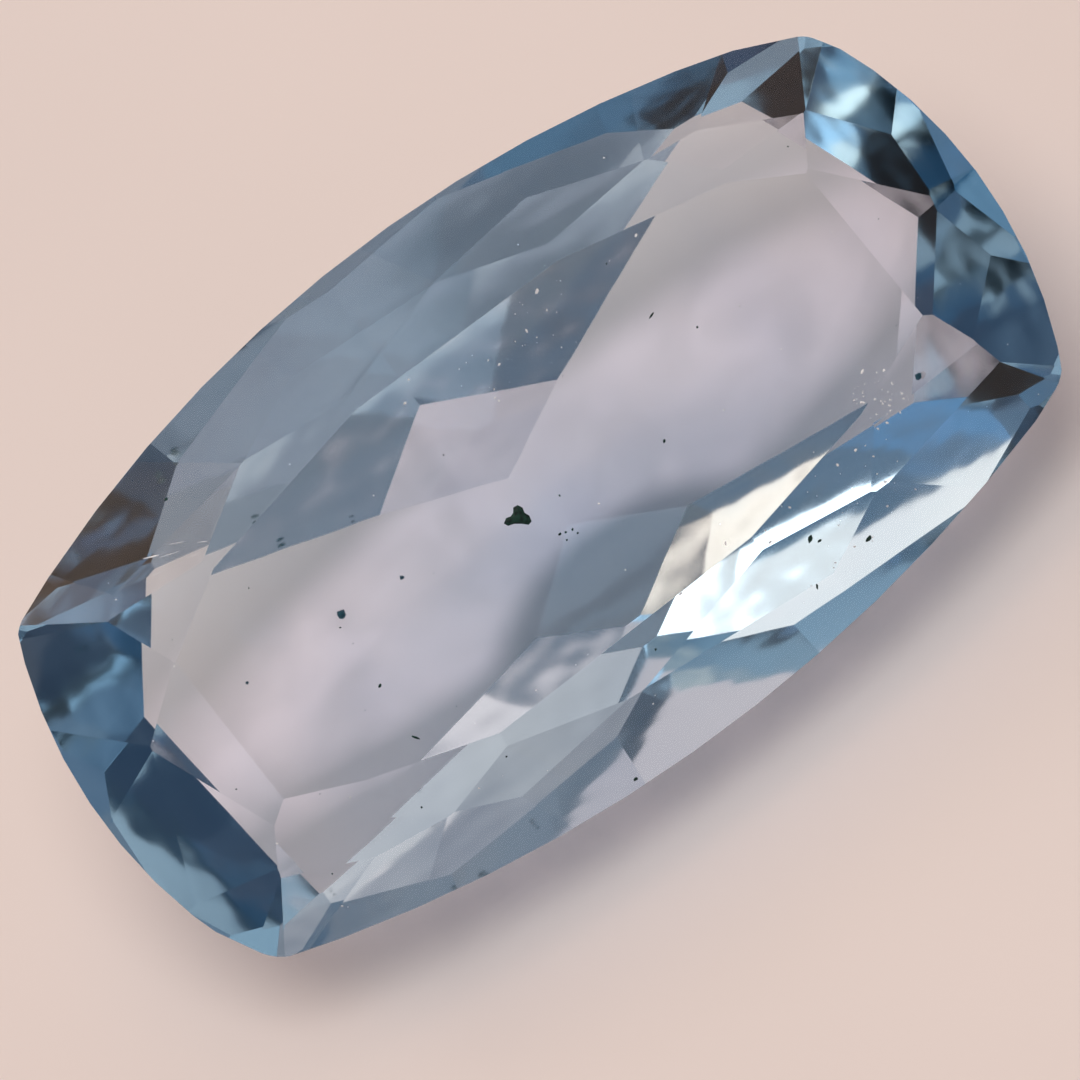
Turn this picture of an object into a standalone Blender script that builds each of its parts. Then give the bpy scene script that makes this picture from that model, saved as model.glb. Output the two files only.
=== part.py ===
"""A faceted fluorite gemstone: an elongated cushion cut that lies on the front main facet of its pavilion.

The stone is made as a lapidary cuts it: a preform is ground to the girdle's outline, then one flat facet
after another is cut, first the crown (table, stars, bezels, upper girdle), then the pavilion (mains, sides,
ends, lower girdle). The cutting lists are in millimetres and degrees, in the stone's own frame: +X along the
stone, +Y to its back, +Z out of the table, z = 0 at the girdle's upper edge. Azimuths run counterclockwise
from +X, seen from the table. A slope is a facet's angle to the table. The facets are hand cut, so no two
quarters are quite alike.
"""

from math import atan2, cos, degrees, radians, sin

import bmesh
import bpy
from mathutils import Matrix, Vector

MM = 0.001

# Girdle outline: arcs that run on into each other, each ground as a few flats tangent to it.
# The arc's centre and radius, the azimuths between which its flats face, and their number.
OUTLINE_ARCS = (
    ((0.00, -17.10), 22.15, 69.0, 111.0, 13),  # back side
    ((-7.70, 2.84), 0.78, 115.0, 152.0, 5),  # back left corner
    ((-0.75, -0.05), 8.26, 156.0, 203.0, 9),  # left end
    ((-7.45, -2.76), 0.93, 208.0, 248.0, 6),  # front left corner
    ((0.33, 20.87), 25.79, 252.0, 287.0, 13),  # front side
    ((7.54, -3.04), 0.78, 291.0, 329.0, 6),  # front right corner
    ((1.20, -0.03), 7.77, 333.0, 386.0, 10),  # right end
    ((7.67, 2.94), 0.60, 31.0, 65.0, 5),  # back right corner
)

BLOCK = (20.0, 12.0)
TABLE_HEIGHT = 1.16
GIRDLE_THICKNESS = 0.165
PAVILION_DEPTH = 4.70

# Crown stars start at the table's edge: azimuth, then the point (x, y) on that edge.
STAR_SLOPE = 18.0
STARS = (
    (101.0, -3.32, 2.61),
    (89.3, 0.50, 2.92),
    (77.4, 4.08, 2.56),
    (59.6, 6.12, 1.90),
    (2.2, 6.74, 0.07),
    (-69.0, 5.92, -1.79),
    (-79.0, 3.67, -2.40),
    (-89.3, -0.30, -2.69),
    (-107.8, -4.02, -2.36),
    (-114.2, -5.80, -1.70),
    (-179.0, -6.41, 0.00),
    (120.8, -5.70, 1.87),
)

# Crown bezels start on the stars, a little outside the table's corners: azimuth, slope, point (x, y).
BEZELS = (
    (108.0, 25.9, -5.26, 2.50),
    (95.0, 26.1, -1.40, 3.24),
    (83.2, 26.4, 2.73, 3.22),
    (68.0, 24.0, 6.12, 2.43),
    (13.6, 24.0, 6.94, 1.40),
    (-15.7, 28.0, 7.02, -1.45),
    (-72.2, 21.0, 5.26, -2.40),
    (-85.5, 25.5, 2.40, -2.94),
    (-95.5, 27.0, -2.98, -2.98),
    (-110.9, 22.0, -5.50, -2.61),
    (-172.0, 26.0, -6.86, -1.49),
    (159.4, 25.9, -6.61, 1.70),
)

# Upper girdle facets run from the outer tip of a star down to the girdle: the tip (x, y), their azimuths.
STAR_TIPS = (
    (-3.60, 3.39, (106.0, 100.0)),
    (0.74, 3.85, (92.5, 87.0)),
    (4.68, 3.36, (79.0, 74.0)),
    (7.32, 2.41, (66.0, 45.0, 22.0)),
    (8.15, 0.13, (6.0, -6.0)),
    (7.37, -2.84, (-22.0, -50.0, -68.0)),
    (4.71, -3.31, (-75.0, -80.0)),
    (-0.63, -3.59, (-88.0, -93.0)),
    (-4.43, -3.31, (-101.0, -106.0)),
    (-7.22, -2.45, (-112.0, -133.0, -158.0)),
    (-7.64, 0.50, (-174.0, 174.0)),
    (-6.94, 2.64, (160.0, 138.0, 113.0)),
)

# Pavilion mains meet at the keel, the short lowest edge, which runs across the stone.
KEEL_BACK = (-0.25, 0.55)
KEEL_FRONT = (0.08, -0.66)
END_MAIN_SLOPE = 22.5
BACK_MAIN_SLOPE = 42.6
RESTING_SLOPE = 32.0

# Side facets split the pavilion's long sides: azimuth, slope, the point (x, y) where one meets the mains.
PAVILION_SIDES = (
    (92.9, 45.0, -2.31, 1.37),
    (87.7, 45.0, 1.32, 1.40),
    (-103.0, 47.5, -1.49, -1.87),
    (-77.0, 47.5, 1.82, -1.65),
)

# End facets run from the end mains up to the girdle's lower edge: azimuth, slope.
PAVILION_ENDS = (
    (162.0, 43.5),
    (-170.0, 40.0),
    (18.0, 40.0),
    (-18.0, 41.0),
)

# Lower girdle facets are the steepest and touch the girdle's lower edge: their slope, their azimuths.
LOWER_GIRDLE = (
    (55.0, (114.0, 106.0, 98.0, 90.0, 82.0, 74.0, 66.0)),
    (55.0, (-114.0, -106.0, -98.0, -90.0, -82.0, -74.0, -66.0)),
    (50.0, (120.0, 145.0, 165.0, 175.0, -175.0, -165.0, -145.0, -120.0)),
    (50.0, (60.0, 35.0, 15.0, 5.0, -5.0, -15.0, -35.0, -60.0)),
)

BODY_COLOUR = (0.62, 0.78, 0.92, 1.0)
REFRACTIVE_INDEX = 1.434
WELD = 1e-5


def clear_scene():
    for old in list(bpy.data.objects):
        bpy.data.objects.remove(old, do_unlink=True)


def outline_flats():
    """The vertical planes tangent to the girdle's arcs."""
    flats = []
    for (x, y), radius, first, last, count in OUTLINE_ARCS:
        for step in range(count):
            a = radians(first + (last - first) * step / (count - 1))
            outward = Vector((cos(a), sin(a), 0.0))
            flats.append((Vector((x, y, 0.0)) + radius * outward, outward))
    return flats


def preform():
    """A block deep enough to hold the whole stone, ground to the girdle's outline."""
    stone = bmesh.new()
    depth = TABLE_HEIGHT + PAVILION_DEPTH
    middle = Matrix.Translation((0.0, 0.0, TABLE_HEIGHT - depth / 2))
    bmesh.ops.create_cube(stone, size=1.0, matrix=middle @ Matrix.Diagonal((*BLOCK, depth, 1.0)))
    for flat in outline_flats():
        cut(stone, flat)
    return stone


def crown_facet(azimuth, slope, point):
    a, s = radians(azimuth), radians(slope)
    return Vector(point), Vector((sin(s) * cos(a), sin(s) * sin(a), cos(s)))


def pavilion_facet(azimuth, slope, point):
    a, s = radians(azimuth), radians(slope)
    return Vector(point), Vector((sin(s) * cos(a), sin(s) * sin(a), -cos(s)))


def height_of(facet, x, y):
    point, normal = facet
    return point.z - (normal.x * (x - point.x) + normal.y * (y - point.y)) / normal.z


def crown_height(facets, x, y):
    return min(height_of(facet, x, y) for facet in facets)


def pavilion_height(facets, x, y):
    return max(height_of(facet, x, y) for facet in facets)


def girdle_point(outline, azimuth, z):
    """The point of the outline that reaches furthest towards the azimuth, at height z."""
    a = radians(azimuth)
    towards = Vector((cos(a), sin(a)))
    furthest = max(outline, key=towards.dot)
    return Vector((furthest.x, furthest.y, z))


def slope_to_girdle(outline, azimuth, x, y, z):
    """The slope of a facet that runs from (x, y, z) down to the girdle's upper edge."""
    a = radians(azimuth)
    edge = girdle_point(outline, azimuth, 0.0)
    run = cos(a) * (edge.x - x) + sin(a) * (edge.y - y)
    return degrees(atan2(z, run))


def crown_facets(outline):
    facets = [(Vector((0.0, 0.0, TABLE_HEIGHT)), Vector((0.0, 0.0, 1.0)))]
    facets += [crown_facet(azimuth, STAR_SLOPE, (x, y, TABLE_HEIGHT)) for azimuth, x, y in STARS]
    facets += [
        crown_facet(azimuth, slope, (x, y, crown_height(facets, x, y)))
        for azimuth, slope, x, y in BEZELS
    ]
    upper_girdle = []
    for x, y, azimuths in STAR_TIPS:
        z = crown_height(facets, x, y)
        for azimuth in azimuths:
            slope = slope_to_girdle(outline, azimuth, x, y, z)
            upper_girdle.append(crown_facet(azimuth, slope, (x, y, z)))
    return facets + upper_girdle


def pavilion_facets(outline):
    back = (*KEEL_BACK, -PAVILION_DEPTH)
    front = (*KEEL_FRONT, -PAVILION_DEPTH)
    along_keel = degrees(atan2(KEEL_BACK[1] - KEEL_FRONT[1], KEEL_BACK[0] - KEEL_FRONT[0]))
    facets = [
        pavilion_facet(along_keel + 90.0, END_MAIN_SLOPE, back),
        pavilion_facet(along_keel - 90.0, END_MAIN_SLOPE, back),
        pavilion_facet(90.0, BACK_MAIN_SLOPE, back),
        pavilion_facet(-90.0, RESTING_SLOPE, front),
    ]
    facets += [
        pavilion_facet(azimuth, slope, (x, y, pavilion_height(facets, x, y)))
        for azimuth, slope, x, y in PAVILION_SIDES
    ]
    lower_girdle = [(azimuth, slope) for slope, azimuths in LOWER_GIRDLE for azimuth in azimuths]
    facets += [
        pavilion_facet(azimuth, slope, girdle_point(outline, azimuth, -GIRDLE_THICKNESS))
        for azimuth, slope in [*PAVILION_ENDS, *lower_girdle]
    ]
    return facets


def cut(stone, facet):
    """Grinds away what stands outside the facet's plane, and closes the stone with the facet."""
    point, normal = facet
    geometry = stone.verts[:] + stone.edges[:] + stone.faces[:]
    found = bmesh.ops.bisect_plane(
        stone, geom=geometry, dist=WELD, plane_co=point, plane_no=normal, clear_outer=True
    )
    rim = [part for part in found["geom_cut"] if isinstance(part, bmesh.types.BMEdge)]
    open_rim = [edge for edge in rim if edge.is_boundary]
    if open_rim:
        bmesh.ops.contextual_create(stone, geom=open_rim)


def lay_down(gemstone):
    """Turns the stone onto its resting facet, with the middle of its footprint at the origin."""
    turn = Matrix.Rotation(radians(RESTING_SLOPE), 3, "X")
    places = [turn @ vert.co for vert in gemstone.data.vertices]
    low = Vector([min(place[axis] for place in places) for axis in range(3)])
    high = Vector([max(place[axis] for place in places) for axis in range(3)])
    gemstone.rotation_euler.x = radians(RESTING_SLOPE)
    gemstone.location = (-(low.x + high.x) / 2, -(low.y + high.y) / 2, -low.z)


def fluorite():
    material = bpy.data.materials.new("pale_blue_fluorite")
    material.use_nodes = True
    shader = material.node_tree.nodes["Principled BSDF"]
    shader.inputs["Base Color"].default_value = BODY_COLOUR
    shader.inputs["Metallic"].default_value = 0.0
    shader.inputs["Roughness"].default_value = 0.02
    shader.inputs["IOR"].default_value = REFRACTIVE_INDEX
    shader.inputs["Transmission Weight"].default_value = 1.0
    return material


def build_gemstone():
    stone = preform()
    outline = [vert.co.xy for vert in stone.verts]
    for facet in crown_facets(outline) + pavilion_facets(outline):
        cut(stone, facet)
    bmesh.ops.recalc_face_normals(stone, faces=stone.faces)
    bmesh.ops.scale(stone, vec=(MM, MM, MM), verts=stone.verts)
    mesh = bpy.data.meshes.new("gemstone")
    stone.to_mesh(mesh)
    stone.free()
    mesh.materials.append(fluorite())
    gemstone = bpy.data.objects.new("gemstone", mesh)
    bpy.context.scene.collection.objects.link(gemstone)
    lay_down(gemstone)


clear_scene()
build_gemstone()
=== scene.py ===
"""Looks of the faceted fluorite gemstone: the cut stone with softened edges, its dust, a floor and light.

The stone's own axes are ALONG it, to its BACK, and OUT of its table. Places on the stone are given as (u, v)
in steps of PIXEL, from the middle of its girdle: u along it, v towards its front. Places on the floor are in
millimetres, and directions of light are azimuth and elevation in degrees, counterclockwise from +X.
"""

import math
import random

import bmesh
import bpy
from mathutils import Matrix, Vector
from mathutils.bvhtree import BVHTree

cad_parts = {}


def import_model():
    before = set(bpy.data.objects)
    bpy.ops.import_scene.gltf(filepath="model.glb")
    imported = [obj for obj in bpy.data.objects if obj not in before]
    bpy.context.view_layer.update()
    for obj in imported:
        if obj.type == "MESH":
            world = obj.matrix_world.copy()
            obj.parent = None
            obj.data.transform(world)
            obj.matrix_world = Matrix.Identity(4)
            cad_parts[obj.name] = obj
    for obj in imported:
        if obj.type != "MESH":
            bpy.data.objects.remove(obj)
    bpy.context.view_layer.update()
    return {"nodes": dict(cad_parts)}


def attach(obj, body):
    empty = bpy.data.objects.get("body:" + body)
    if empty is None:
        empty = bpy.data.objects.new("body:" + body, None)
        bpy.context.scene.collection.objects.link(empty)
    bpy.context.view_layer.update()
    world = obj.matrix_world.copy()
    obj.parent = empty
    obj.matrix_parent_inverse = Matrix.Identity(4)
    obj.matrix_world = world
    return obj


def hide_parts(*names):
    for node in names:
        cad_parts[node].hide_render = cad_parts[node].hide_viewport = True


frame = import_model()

MM = 0.001
TILT = math.radians(32.0)  # the table leans this far towards -Y
PIXEL = 0.016529  # millimetres of the stone to a pixel of the 1080 x 1080 picture
PICTURE = 1080

TURN = Matrix.Rotation(TILT, 3, "X")
ALONG, BACK, OUT = TURN @ Vector((1, 0, 0)), TURN @ Vector((0, 1, 0)), TURN @ Vector((0, 0, 1))
ORIGIN = MM * Vector((0.0167, -0.0944, 4.3356))  # the centre of the girdle's upper plane


def set_socket(node, name, value):
    node.inputs[name].default_value = value


def place_in_scene(name, data):
    made = bpy.data.objects.new(name, data)
    bpy.context.scene.collection.objects.link(made)
    return made


def into_mesh(shape, name):
    made = bpy.data.meshes.new(name)
    shape.to_mesh(made)
    shape.free()
    return made


def material(name):
    made = bpy.data.materials.new(name)
    made.use_nodes = True
    return made, made.node_tree, made.node_tree.nodes["Principled BSDF"]


def link(tree, source, output, target, socket):
    tree.links.new(source.outputs[output], target.inputs[socket])


def noise(tree, place, scale, detail, roughness=0.5, distortion=0.0):
    made = tree.nodes.new("ShaderNodeTexNoise")
    set_socket(made, "Scale", scale)
    set_socket(made, "Detail", detail)
    set_socket(made, "Roughness", roughness)
    set_socket(made, "Distortion", distortion)
    tree.links.new(place, made.inputs["Vector"])
    return made


def ramp(tree, source, stops):
    """A colour ramp on a 0 to 1 value: stops are (position, colour)."""
    made = tree.nodes.new("ShaderNodeValToRGB")
    for element, (position, colour) in zip(made.color_ramp.elements, stops):
        element.position = position
        element.color = (*colour, 1.0)
    tree.links.new(source, made.inputs["Fac"])
    return made


def roughen(tree, shader, height, strength, depth):
    """Bumps on the shader's surface, depth in metres where the height is 1."""
    bump = tree.nodes.new("ShaderNodeBump")
    set_socket(bump, "Strength", strength)
    set_socket(bump, "Distance", depth)
    link(tree, height, "Fac", bump, "Height")
    link(tree, bump, "Normal", shader, "Normal")


def fade(tree, source, output, outer, inner):
    """0 where the source is at outer, 1 where it is at inner, with a smooth step between."""
    made = tree.nodes.new("ShaderNodeMapRange")
    made.interpolation_type = "SMOOTHSTEP"
    set_socket(made, "From Min", outer)
    set_socket(made, "From Max", inner)
    link(tree, source, output, made, "Value")
    return made.outputs["Result"]


# --- the stone ------------------------------------------------------------------------------------

EDGE_WEAR = 0.014 * MM
SAME_POINT = 0.0015 * MM  # corners closer than this are one corner
SAME_FACET = math.radians(0.3)  # triangles that lean apart by less than this are one facet
FLUORITE_IOR = 1.434
POLISH = 0.06
ABSORPTION = (0.02, 0.585, 0.89)
ABSORPTION_DENSITY = 60.0
WAVE = (900.0, 0.10, 0.10 * MM)  # the lap's waviness: noise scale, bump strength, depth
VEIL_SCALE = 300.0
VEIL_TINTS = ((0.30, (0.90, 0.92, 0.96)), (0.60, (1.0, 1.0, 1.0)))


def cut_stone():
    """The CAD's facets as whole polygons, with their edges softened as polishing leaves them."""
    mesh = frame["nodes"]["gemstone"].data.copy()
    shape = bmesh.new()
    shape.from_mesh(mesh)
    bpy.data.meshes.remove(mesh)
    bmesh.ops.remove_doubles(shape, verts=shape.verts, dist=SAME_POINT)
    bmesh.ops.dissolve_limit(shape, angle_limit=SAME_FACET, verts=shape.verts, edges=shape.edges)
    bmesh.ops.recalc_face_normals(shape, faces=shape.faces)
    bmesh.ops.bevel(
        shape, geom=shape.edges[:], offset=EDGE_WEAR, offset_type="OFFSET", segments=1, profile=0.5,
        affect="EDGES", clamp_overlap=True,
    )
    bmesh.ops.recalc_face_normals(shape, faces=shape.faces)
    made = into_mesh(shape, "cut_stone")
    for face in made.polygons:
        face.use_smooth = False
    return place_in_scene("cut_stone", made)


def stone_place(tree):
    """Object coordinates, turned so that X runs along the stone and Z out of its table."""
    place = tree.nodes.new("ShaderNodeTexCoord")
    turn = tree.nodes.new("ShaderNodeMapping")
    turn.vector_type = "POINT"
    set_socket(turn, "Rotation", (-TILT, 0.0, 0.0))
    link(tree, place, "Object", turn, "Vector")
    return turn.outputs["Vector"]


def polish_marks(tree, shader):
    """Faint waviness left by the lap, and a milky veil that clouds the crystal in patches."""
    place = stone_place(tree)
    scale, strength, depth = WAVE
    roughen(tree, shader, noise(tree, place, scale, detail=1.0), strength, depth)
    cloud = noise(tree, place, VEIL_SCALE, detail=2.0, roughness=0.6)
    tint = ramp(tree, cloud.outputs["Fac"], VEIL_TINTS)
    link(tree, tint, "Color", shader, "Base Color")


def fluorite():
    made, tree, shader = material("fluorite_cut")
    set_socket(shader, "Roughness", POLISH)
    set_socket(shader, "IOR", FLUORITE_IOR)
    set_socket(shader, "Transmission Weight", 1.0)
    absorb = tree.nodes.new("ShaderNodeVolumeAbsorption")
    set_socket(absorb, "Color", (*ABSORPTION, 1.0))
    set_socket(absorb, "Density", ABSORPTION_DENSITY)
    link(tree, absorb, "Volume", tree.nodes["Material Output"], "Volume")
    polish_marks(tree, shader)
    return made


stone = cut_stone()
stone.data.materials.append(fluorite())
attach(stone, "root")
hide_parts("gemstone")

# --- dust and small marks -------------------------------------------------------------------------

GRAIN_JOG = 0.28  # how far a grain's corners stray from its ellipsoid
GRAIN_THICKNESS = 0.35  # share of its width
FINE_BIAS = 2.5  # above 1, strewn grains are more often fine than coarse
LONGEST_GRAIN = 1.8  # length of a strewn grain in widths
HAZE_DEPTH = 0.05  # millimetres that the haze spots lie under the surface
CRUMB_RINGS = ((1.0, -0.004), (0.94, 0.018), (0.55, 0.045))  # share of the outline, height in millimetres
CRUMB_TOP = 0.052
OUTSIDE = 12.0 * MM  # a start for rays that is clear of the stone
DUST_SCALE = 14000.0
DUST_BUMP = (0.5, 0.01 * MM)  # strength, depth

skin = BVHTree.FromPolygons(
    [corner.co for corner in stone.data.vertices],
    [tuple(facet.vertices) for facet in stone.data.polygons],
)


def on_stone(u, v, from_below=False):
    """Where the line through (u, v) along OUT meets the stone, and the normal there, or two Nones."""
    side = -1.0 if from_below else 1.0
    start = ORIGIN + PIXEL * MM * (u * ALONG - v * BACK) + side * OUTSIDE * OUT
    point, normal, _, _ = skin.ray_cast(start, -side * OUT)
    return point, normal


def flake(shape, draw, u, v, long, wide, turn, from_below=False, sink=0.0):
    """One irregular grain or fleck: long and wide in picture steps, turned in the facet's plane."""
    point, normal = on_stone(u, v, from_below)
    if point is None:
        return
    along = (ALONG - ALONG.dot(normal) * normal).normalized()
    across = normal.cross(along)
    spin = math.radians(turn)
    first = math.cos(spin) * along + math.sin(spin) * across
    second = normal.cross(first)
    new = bmesh.ops.create_icosphere(shape, subdivisions=1, radius=1.0)["verts"]
    size = PIXEL * MM * 0.5
    low = min(long, wide) * GRAIN_THICKNESS
    centre = point - sink * MM * normal
    for vert in new:
        jog = 1.0 + draw.uniform(-GRAIN_JOG, GRAIN_JOG)
        x, y, z = vert.co * jog
        vert.co = centre + size * (x * long * first + y * wide * second + z * low * normal)


def dirt(shape, name, surface):
    """Puts a finished shape on the stone as a piece of its own."""
    made = into_mesh(shape, name)
    made.materials.append(surface)
    piece = place_in_scene(name, made)
    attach(piece, "root")


def flecks(name, rows, surface, seed, **settings):
    shape = bmesh.new()
    draw = random.Random(seed)
    for row in rows:
        flake(shape, draw, *row, **settings)
    dirt(shape, name, surface)


def crumb(name, outline, surface):
    """The one large crumb on the table: a notched, wedge-shaped chip with a crowned top."""
    shape = bmesh.new()
    middle = [sum(values) / len(outline) for values in zip(*outline)]
    rings = []
    for share, lift in CRUMB_RINGS:
        ring = []
        for u, v in outline:
            u, v = middle[0] + share * (u - middle[0]), middle[1] + share * (v - middle[1])
            point, normal = on_stone(u, v)
            ring.append(shape.verts.new(point + lift * MM * normal))
        rings.append(ring)
    point, normal = on_stone(*middle)
    top = shape.verts.new(point + CRUMB_TOP * MM * normal)
    count = len(outline)
    for below, above in zip(rings, rings[1:]):
        for i in range(count):
            j = (i + 1) % count
            shape.faces.new((below[i], below[j], above[j], above[i]))
    for i in range(count):
        shape.faces.new((rings[-1][i], rings[-1][(i + 1) % count], top))
    shape.faces.new(list(reversed(rings[0])))
    bmesh.ops.recalc_face_normals(shape, faces=shape.faces)
    dirt(shape, name, surface)


def dust_material(name, dark, pale, rough):
    made, tree, shader = material(name)
    place = tree.nodes.new("ShaderNodeTexCoord")
    grain = noise(tree, place.outputs["Object"], DUST_SCALE, detail=2.0)
    tint = ramp(tree, grain.outputs["Fac"], ((0.35, dark), (0.65, pale)))
    link(tree, tint, "Color", shader, "Base Color")
    set_socket(shader, "Roughness", rough)
    set_socket(shader, "Specular IOR Level", 0.3)
    roughen(tree, shader, grain, *DUST_BUMP)
    return made


def scatter(draw, count, box, least, most):
    """Rows for flake(): grains strewn in a box of (u0, u1, v0, v1)."""
    rows = []
    for _ in range(count):
        u, v = draw.uniform(box[0], box[1]), draw.uniform(box[2], box[3])
        size = least + (most - least) * draw.random() ** FINE_BIAS
        rows.append((u, v, size * draw.uniform(1.0, LONGEST_GRAIN), size, draw.uniform(0.0, 180.0)))
    return rows


# The crumb's outline, then grains as rows for flake(): u, v, length, width, turn in degrees.
CRUMB = (
    (-46.0, 1.0), (-44.0, 5.5), (-38.0, 7.5), (-32.0, 12.0), (-27.0, 17.0), (-22.5, 16.0), (-21.0, 10.0),
    (-23.0, 5.0), (-21.5, -0.5), (-24.0, -5.5), (-29.0, -6.0), (-32.0, -2.0), (-36.0, -0.5), (-41.0, -2.0),
)
DARK_SPECKS = (
    (-8.0, 43.0, 4.0, 3.0, 0.0), (-2.0, 45.0, 3.0, 2.6, 40.0), (5.0, 47.0, 3.4, 2.6, 10.0),
    (7.0, 53.0, 2.6, 2.0, 0.0), (-6.0, 52.0, 2.4, 2.0, 0.0), (131.0, 32.0, 4.5, 3.0, 30.0),
    (188.0, 198.0, 9.0, 6.0, 40.0), (235.0, 233.0, 8.0, 5.0, 10.0), (165.0, 240.0, 8.0, 2.6, 70.0),
    (-245.0, 117.0, 10.0, 2.4, 120.0), (-242.0, 55.0, 5.0, 3.0, 30.0), (194.0, 205.0, 5.0, 3.0, 0.0),
    (-300.0, -222.0, 5.0, 4.0, 0.0), (-95.0, 284.0, 6.0, 4.0, 0.0), (196.0, -75.0, 8.0, 2.6, 20.0),
)
PALE_MARKS = (
    (-346.0, -185.0, 17.0, 2.0, -28.0), (-330.0, -176.0, 22.0, 0.7, -24.0),
    (-318.0, -181.0, 18.0, 0.6, -32.0), (-350.0, -168.0, 16.0, 0.6, -20.0),
    (-296.0, -166.0, 14.0, 0.6, -35.0), (-310.0, -160.0, 20.0, 0.5, -26.0),
    (120.0, -163.0, 7.0, 4.0, 40.0), (88.0, -138.0, 5.0, 2.0, 80.0), (46.0, -128.0, 4.0, 2.4, 10.0),
    (232.0, -148.0, 5.0, 3.0, 40.0), (-52.0, -154.0, 4.0, 3.0, 0.0), (52.0, 163.0, 6.0, 2.5, 10.0),
    (118.0, 150.0, 5.0, 2.0, 60.0), (154.0, 176.0, 5.0, 3.0, 0.0), (330.0, 96.0, 6.0, 3.0, 30.0),
)
HAZE_SPOTS = (
    (-233.0, -25.0, 12.0, 10.0, 0.0), (-162.0, -18.0, 6.0, 5.0, 0.0), (370.0, 117.0, 11.0, 8.0, 0.0),
    (-350.0, -28.0, 5.0, 4.0, 0.0),
)

# Strewn grains: count, box of (u0, u1, v0, v1), least and greatest width.
PALE_PATCHES = (
    (60, (306.0, 352.0, 104.0, 152.0), 0.6, 2.8),
    (30, (-10.0, 150.0, -166.0, -92.0), 0.4, 2.0),
    (30, (150.0, 320.0, 150.0, 240.0), 0.7, 3.0),
    (90, (-470.0, 470.0, -230.0, 250.0), 0.6, 2.2),
)
DARK_PATCH = (26, (-450.0, 450.0, -200.0, 220.0), 0.8, 2.4)

draw = random.Random(11)
pale_rows = list(PALE_MARKS)
for patch in PALE_PATCHES:
    pale_rows += scatter(draw, *patch)
dark_rows = list(DARK_SPECKS) + scatter(draw, *DARK_PATCH)

dark_dust = dust_material("dark_dust", dark=(0.004, 0.012, 0.010), pale=(0.012, 0.045, 0.030), rough=0.6)
pale_dust = dust_material("pale_dust", dark=(0.62, 0.60, 0.60), pale=(0.86, 0.84, 0.82), rough=0.8)
teal_dust = dust_material("teal_dust", dark=(0.05, 0.15, 0.18), pale=(0.10, 0.24, 0.27), rough=0.8)

crumb("dark_crumb", CRUMB, dark_dust)
flecks("dark_specks", dark_rows, dark_dust, seed=21)
flecks("pale_dust", pale_rows, pale_dust, seed=22)
flecks("haze_spots", HAZE_SPOTS, teal_dust, seed=23, from_below=True, sink=HAZE_DEPTH)

# --- floor and light ------------------------------------------------------------------------------

FLOOR_GAP = 0.02 * MM  # keeps the floor clear of the facet that lies on it
FLOOR_HALF = 0.6
DRIFT_SCALE = 55.0
TOOTH = (700.0, 0.05, 0.05 * MM)  # the surface's tooth: noise scale, bump strength, depth
RIPPLE_SCALE = 620.0
RIPPLE = (0.80, 1.15)  # least and greatest share of the painted glow along its ripples
RIPPLE_NOISE = (0.35, 0.65)  # the noise values that these shares stand for

# Ovals on the floor: centre, half sizes, and where the edge's fade starts and ends, in half sizes.
# painted light: an emitting pool on the floor under the stone's raised back, seen through its window
POOL = ((0.0, 2.3), (7.2, 2.1), 0.72, 1.15)
# painted light: a faint glow under the stone's front and in its shadow
FRONT = ((0.0, -1.0), (7.8, 3.1), 0.78, 1.18)
# painted shade: a contact shadow around the facet that lies on the floor
DIM = ((0.3, 0.15), (2.9, 1.60), 0.66, 1.04)
# painted shade on the floor, seen through the right side of the upper crown
SHADE = ((2.2, -1.9), (2.6, 1.3), 0.40, 1.20)
# painted light: a faint blue fill glowing in the stone's shadow
SHADOW = ((0.0, 0.0), (10.5, 6.5), 0.60, 1.20)
# emission strength of the painted pool of light
PAINTED_POOL_GLOW = 0.29
# emission strength of the painted glow in front
PAINTED_FRONT_GLOW = 0.07
PAINTED_DIM_LEFT = 0.15  # share of the painted glow that is left in the dim oval, a painted contact shadow
PAINTED_DIM_BASE, PAINTED_SHADE_BASE = 0.78, 0.62  # share of the floor's own colour that the painted shade leaves there
# colour of the painted pool of light
PAINTED_POOL_COLOUR = (1.16, 0.85, 0.87)
# colour of the painted fill light in the shadow
PAINTED_SHADOW_FILL = (0.010, 0.026, 0.050)
FLOOR_TINTS = ((0.35, (0.755, 0.655, 0.60)), (0.65, (0.785, 0.68, 0.622)))


def oval(tree, place, centre, half, inner, outer):
    """1 inside an oval on the floor, fading to 0 outside it."""
    shrink = tree.nodes.new("ShaderNodeMapping")
    set_socket(shrink, "Location", (-centre[0] / half[0], -centre[1] / half[1], 0.0))
    set_socket(shrink, "Scale", (1.0 / (half[0] * MM), 1.0 / (half[1] * MM), 0.0))
    tree.links.new(place, shrink.inputs["Vector"])
    reach = tree.nodes.new("ShaderNodeVectorMath")
    reach.operation = "LENGTH"
    link(tree, shrink, "Vector", reach, 0)
    return fade(tree, reach, "Value", outer, inner)


def times(tree, first, second):
    made = tree.nodes.new("ShaderNodeMath")
    made.operation = "MULTIPLY"
    tree.links.new(first, made.inputs[0])
    tree.links.new(second, made.inputs[1])
    return made.outputs["Value"]


def spread(tree, source, least, most, low=0.0, high=1.0):
    """Maps low to high in the source onto least to most."""
    made = tree.nodes.new("ShaderNodeMapRange")
    set_socket(made, "From Min", low)
    set_socket(made, "From Max", high)
    set_socket(made, "To Min", least)
    set_socket(made, "To Max", most)
    tree.links.new(source, made.inputs["Value"])
    return made.outputs["Result"]


def scaled(tree, colour, share):
    made = tree.nodes.new("ShaderNodeVectorMath")
    made.operation = "SCALE"
    set_socket(made, 0, colour)
    tree.links.new(share, made.inputs["Scale"])
    return made.outputs["Vector"]


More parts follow.
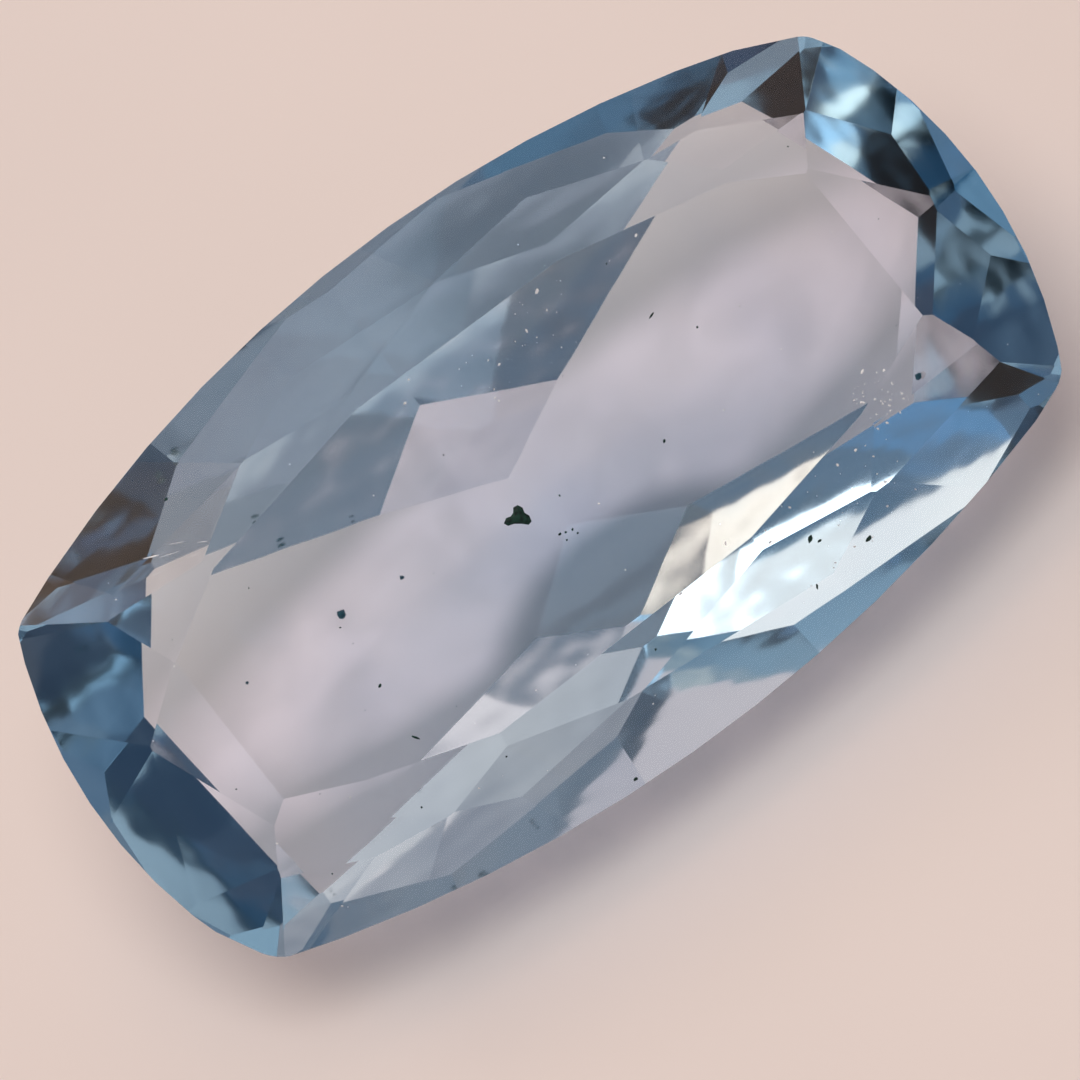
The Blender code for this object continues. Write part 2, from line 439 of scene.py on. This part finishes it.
def painted_light_under(tree, shader, place):
    """Light and shade painted on the floor where the cut gathers light. Returns the share of the floor's
    colour that is left.
    """
    ovals = (POOL, FRONT, DIM, SHADE, SHADOW)
    pool, front, dim, shade, shadow = (oval(tree, place, *shape) for shape in ovals)
    ripple = noise(tree, place, RIPPLE_SCALE, detail=2.0, distortion=0.6)
    # painted light in front of and under the stone, left out in the painted shade oval
    far = times(tree, spread(tree, front, 0.0, PAINTED_FRONT_GLOW), spread(tree, shade, 1.0, 0.0))
    most = tree.nodes.new("ShaderNodeMath")
    most.operation = "MAXIMUM"
    tree.links.new(spread(tree, pool, 0.0, PAINTED_POOL_GLOW), most.inputs[0])
    tree.links.new(far, most.inputs[1])
    # painted shade: the dim oval takes the painted glow away, and the ripples vary it
    light = times(tree, most.outputs["Value"], spread(tree, dim, 1.0, PAINTED_DIM_LEFT))
    light = times(tree, light, spread(tree, ripple.outputs["Fac"], *RIPPLE, *RIPPLE_NOISE))
    add = tree.nodes.new("ShaderNodeVectorMath")
    tree.links.new(scaled(tree, PAINTED_POOL_COLOUR, light), add.inputs[0])
    tree.links.new(scaled(tree, PAINTED_SHADOW_FILL, shadow), add.inputs[1])
    link(tree, add, "Vector", shader, "Emission Color")
    set_socket(shader, "Emission Strength", 1.0)
    # painted shade: the dim and shade ovals darken the floor's own colour
    return times(tree, spread(tree, dim, 1.0, PAINTED_DIM_BASE), spread(tree, shade, 1.0, PAINTED_SHADE_BASE))


def floor():
    shape = bmesh.new()
    bmesh.ops.create_grid(shape, x_segments=1, y_segments=1, size=FLOOR_HALF)
    made = into_mesh(shape, "floor")
    sheet = place_in_scene("floor", made)
    sheet.location.z = -FLOOR_GAP
    surface, tree, shader = material("pale_floor")
    place = tree.nodes.new("ShaderNodeTexCoord").outputs["Object"]
    drift = noise(tree, place, DRIFT_SCALE, detail=2.0)
    tint = ramp(tree, drift.outputs["Fac"], FLOOR_TINTS)
    # painted shade: the floor's colour scaled down in the painted shade ovals
    shade = tree.nodes.new("ShaderNodeVectorMath")
    shade.operation = "SCALE"
    link(tree, tint, "Color", shade, 0)
    tree.links.new(painted_light_under(tree, shader, place), shade.inputs["Scale"])
    link(tree, shade, "Vector", shader, "Base Color")
    scale, strength, depth = TOOTH
    roughen(tree, shader, noise(tree, place, scale, detail=1.0), strength, depth)
    set_socket(shader, "Roughness", 0.8)
    set_socket(shader, "Specular IOR Level", 0.2)
    surface.cycles.emission_sampling = "NONE"  # the painted glow is too faint to be worth sampling as a lamp
    made.materials.append(surface)


floor()


def aim(azimuth, elevation):
    around, up = math.radians(azimuth), math.radians(elevation)
    return Vector((math.cos(up) * math.cos(around), math.cos(up) * math.sin(around), math.sin(up)))


LAMP_WHITE = (1.0, 0.985, 0.985)
WARM_WHITE = (1.0, 0.98, 0.96)


def softbox(name, azimuth, elevation, half_angles, radiance, colour, distance=0.40, seen=True):
    """An elliptical area light aimed at the stone, its half angles in degrees as the stone sees it.

    A light that isn't seen lights the floor and the dust, and leaves no streak in the facets.
    """
    lamp = bpy.data.lights.new(name, "AREA")
    lamp.shape = "ELLIPSE"
    lamp.size, lamp.size_y = (2.0 * distance * math.tan(math.radians(half)) for half in half_angles)
    lamp.energy = radiance * math.pi * (math.pi / 4.0 * lamp.size * lamp.size_y)
    lamp.color = colour
    made = place_in_scene(name, lamp)
    towards = aim(azimuth, elevation)
    made.location = distance * towards
    made.rotation_euler = towards.to_track_quat("Z", "Y").to_euler()
    made.visible_glossy = made.visible_transmission = seen


softbox("overhead_light", 90.0, 87.0, half_angles=(24.0, 21.0), radiance=1.3, colour=LAMP_WHITE)
softbox(
    "floor_light", 270.0, 80.0, half_angles=(16.0, 16.0), radiance=4.75, colour=LAMP_WHITE, distance=0.34,
    seen=False,
)
softbox("back_left_light", 121.0, 40.0, half_angles=(7.2, 7.2), radiance=2.6, colour=WARM_WHITE)

# Soft lobes of the surround: azimuth, elevation, half width, colour added.
LOBES = (
    (40.0, 45.0, 30.0, (0.70, 0.56, 0.50)),
    (80.0, 45.0, 30.0, (0.28, 0.23, 0.22)),
    (120.0, 45.0, 30.0, (1.10, 0.92, 0.80)),
    (140.0, 61.0, 17.0, (1.62, 0.95, 0.58)),
    (48.0, 60.0, 14.0, (0.66, 0.40, 0.34)),
    (24.0, 27.0, 17.0, (0.00, 0.035, 0.07)),
    (216.0, 39.0, 9.0, (0.00, 0.12, 0.24)),
    (208.0, 62.0, 10.0, (0.14, 0.05, 0.00)),
    (160.0, 45.0, 30.0, (0.32, 0.31, 0.30)),
    (200.0, 45.0, 30.0, (0.12, 0.17, 0.21)),
    (240.0, 45.0, 30.0, (0.17, 0.10, 0.08)),
    (280.0, 45.0, 30.0, (0.03, 0.035, 0.05)),
    (320.0, 45.0, 30.0, (0.34, 0.26, 0.24)),
    (0.0, 45.0, 30.0, (0.01, 0.04, 0.06)),
    (60.0, 12.0, 30.0, (0.18, 0.17, 0.20)),
    (100.0, 12.0, 30.0, (0.82, 0.61, 0.56)),
    (140.0, 12.0, 30.0, (0.03, 0.06, 0.09)),
    (180.0, 12.0, 30.0, (0.04, 0.09, 0.13)),
    (220.0, 12.0, 30.0, (0.05, 0.11, 0.15)),
    (260.0, 12.0, 30.0, (0.14, 0.15, 0.19)),
    (300.0, 12.0, 30.0, (0.12, 0.15, 0.19)),
    (340.0, 12.0, 30.0, (0.02, 0.06, 0.09)),
)
SURROUND = (0.01, 0.02, 0.032)
COLOUR_A, COLOUR_B, COLOUR_OUT = 6, 7, 2  # a Mix node's colour sockets, which share their names with others


def world():
    """A dim, cool surround: lighter to the back and to the left, dark where the camera stands."""
    made = bpy.data.worlds.new("surround")
    made.use_nodes = True
    tree = made.node_tree
    place = tree.nodes.new("ShaderNodeTexCoord")
    total = tree.nodes.new("ShaderNodeRGB")
    total.outputs[0].default_value = (*SURROUND, 1.0)
    before = total.outputs[0]
    for azimuth, elevation, width, colour in LOBES:
        near = tree.nodes.new("ShaderNodeVectorMath")
        near.operation = "DOT_PRODUCT"
        link(tree, place, "Generated", near, 0)
        set_socket(near, 1, aim(azimuth, elevation))
        share = fade(tree, near, "Value", math.cos(math.radians(width)), 1.0)
        add = tree.nodes.new("ShaderNodeMix")
        add.data_type = "RGBA"
        add.blend_type = "ADD"
        tree.links.new(share, add.inputs[0])
        tree.links.new(before, add.inputs[COLOUR_A])
        set_socket(add, COLOUR_B, (*colour, 1.0))
        before = add.outputs[COLOUR_OUT]
    background = tree.nodes["Background"]
    tree.links.new(before, background.inputs["Color"])
    set_socket(background, "Strength", 1.0)
    bpy.context.scene.world = made


world()

# --- camera ---------------------------------------------------------------------------------------

CAMERA_DISTANCE = 0.25
CAMERA_ROLL = (0.7966, 0.6045)  # cosine and sine of the long axis's angle to the picture's lower edge
PICTURE_CENTRE = (-0.4496, -0.5925)  # millimetres along and to the back of the stone
SENSOR = 36.0


def camera():
    """Looks along the table's normal, rolled as the picture is, with the girdle where the picture has it."""
    lens = bpy.data.cameras.new("camera")
    eye = place_in_scene("camera", lens)
    cosine, sine = CAMERA_ROLL
    right = (cosine * ALONG - sine * BACK).normalized()
    up = (sine * ALONG + cosine * BACK).normalized()
    target = ORIGIN + MM * (PICTURE_CENTRE[0] * ALONG + PICTURE_CENTRE[1] * BACK)
    stand = Matrix.Translation(target + CAMERA_DISTANCE * OUT)
    eye.matrix_world = stand @ Matrix((right, up, OUT)).transposed().to_4x4()
    lens.sensor_width = SENSOR
    lens.lens = SENSOR * CAMERA_DISTANCE / (PICTURE * PIXEL * MM)
    lens.clip_start, lens.clip_end = 0.01, 5.0
    bpy.context.scene.camera = eye


camera()

bpy.context.scene.view_settings.view_transform = "Standard"
